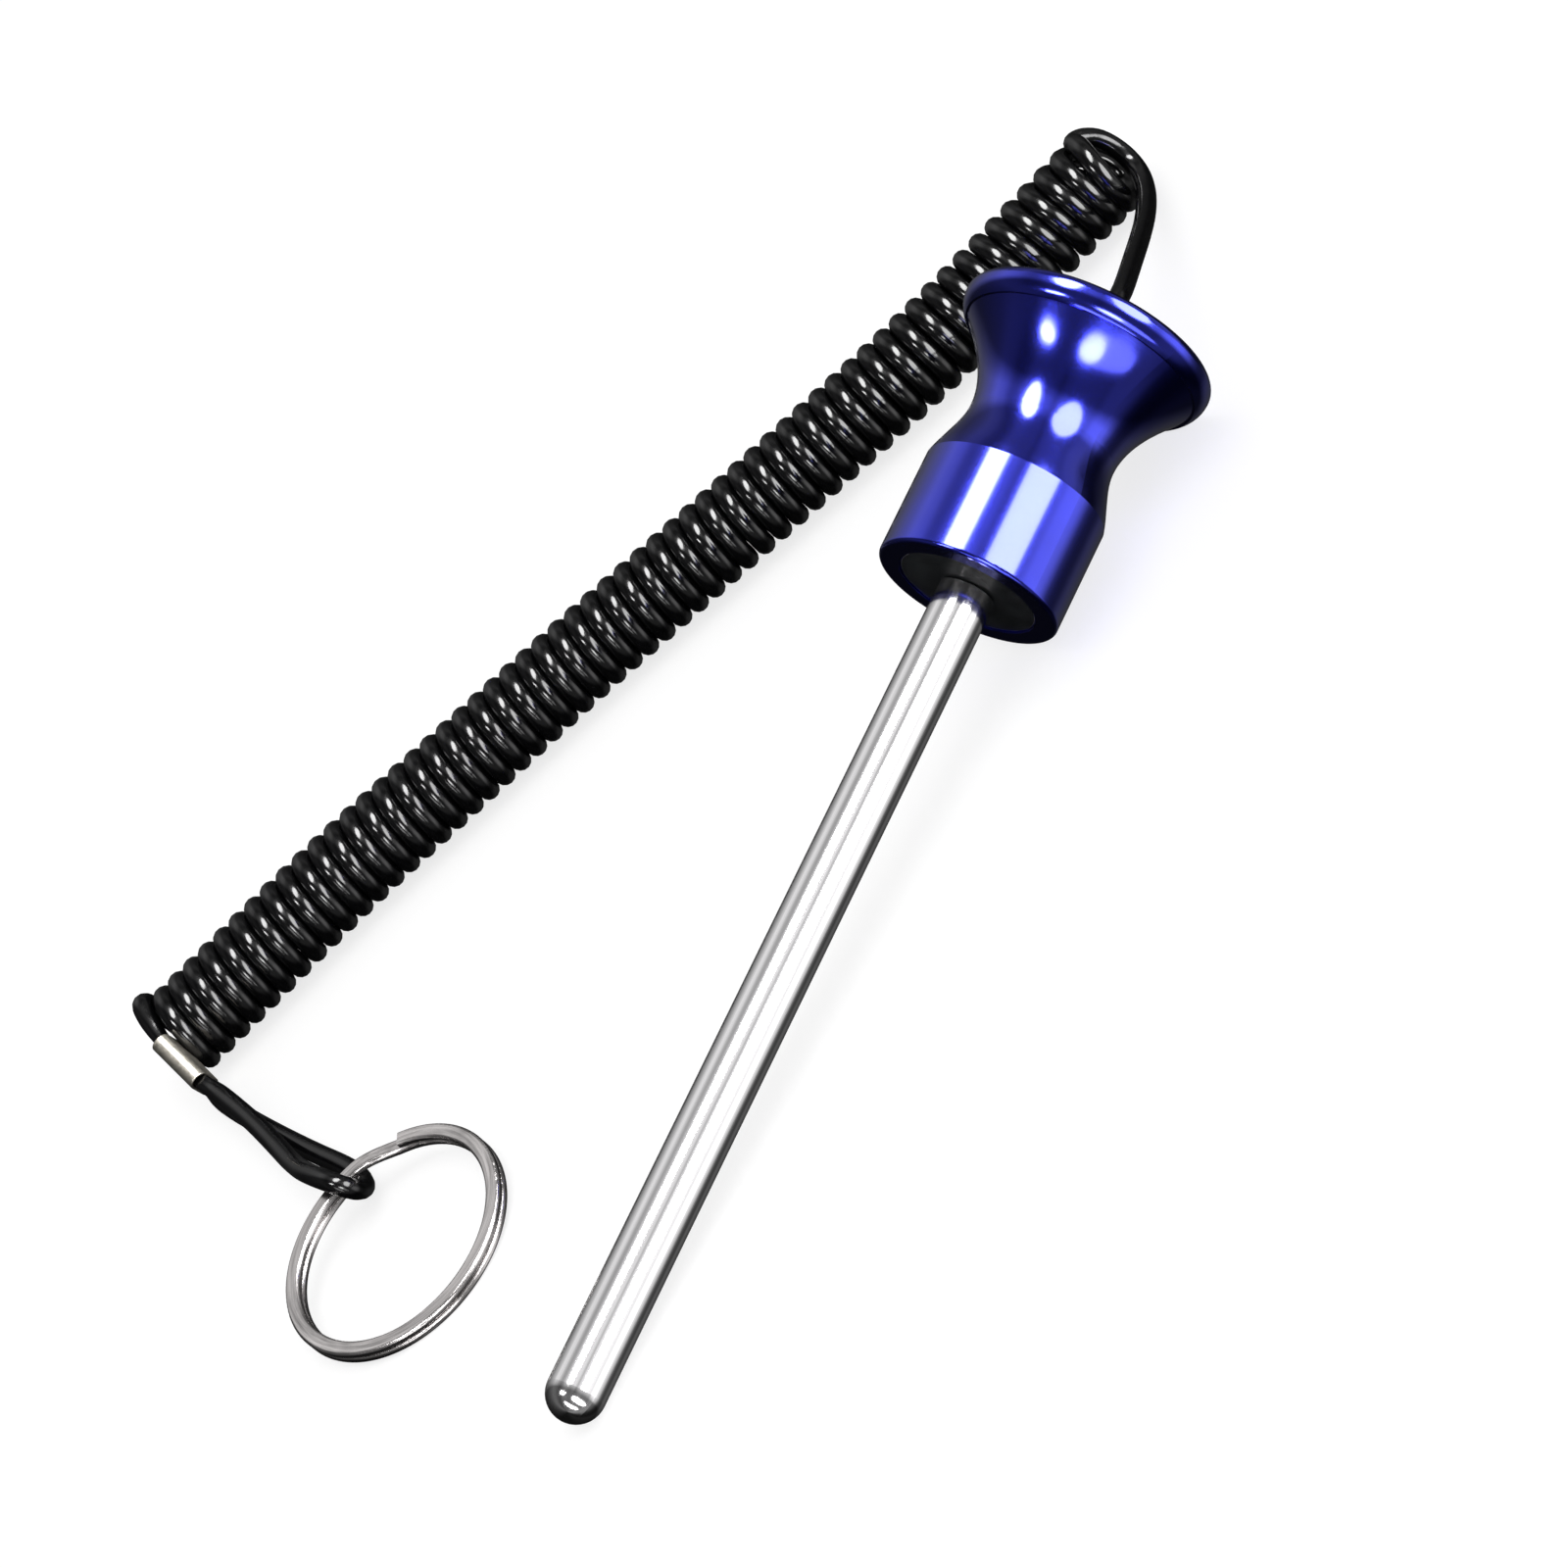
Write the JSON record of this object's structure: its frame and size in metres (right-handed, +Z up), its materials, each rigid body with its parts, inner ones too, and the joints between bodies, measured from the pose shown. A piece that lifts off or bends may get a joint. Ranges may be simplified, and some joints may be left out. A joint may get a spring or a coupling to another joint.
{
  "type": "weight stack pin",
  "caption": "Magnetic weight stack pin: turned flared knob, round tipped rod, curly cord and split ring.",
  "frame": {"origin": "on the floor, under the middle of the pin's box, cord and ring left out", "axes": "+X along the lying pin towards its round tip, +Z up, +Y away from the curly cord"},
  "size_m": [0.2131, 0.1521, 0.0363],
  "materials": {
    "blue_anodised": "glossy royal blue anodising on turned aluminium",
    "plated_rod": "polished bright plating",
    "magnet_black": "glossy black coating",
    "cord_black": "glossy black flexible plastic",
    "ferrule_nickel": "warm satin nickel",
    "ring_nickel": "bright nickel plated spring wire"
  },
  "bodies": {
    "pin": {"knob": "blue_anodised", "pin_rod": "plated_rod", "ring_magnet": "magnet_black", "cord_stop": "ferrule_nickel", "cord_lead": "cord_black", "cord_coil": "cord_black", "cord_tail": "cord_black", "cord_loop": "cord_black", "crimp_ferrule": "ferrule_nickel"},
    "split_ring": {"split_ring": "ring_nickel"}
  },
  "joints": [
    {"name": "ring_swing", "type": "hinge", "parent": "pin", "child": "split_ring", "pos_m": [0.0559, -0.0706, 0.00488], "axis": [0.9239, -0.3827, 0], "range_deg": [0, 175]}
  ]
}
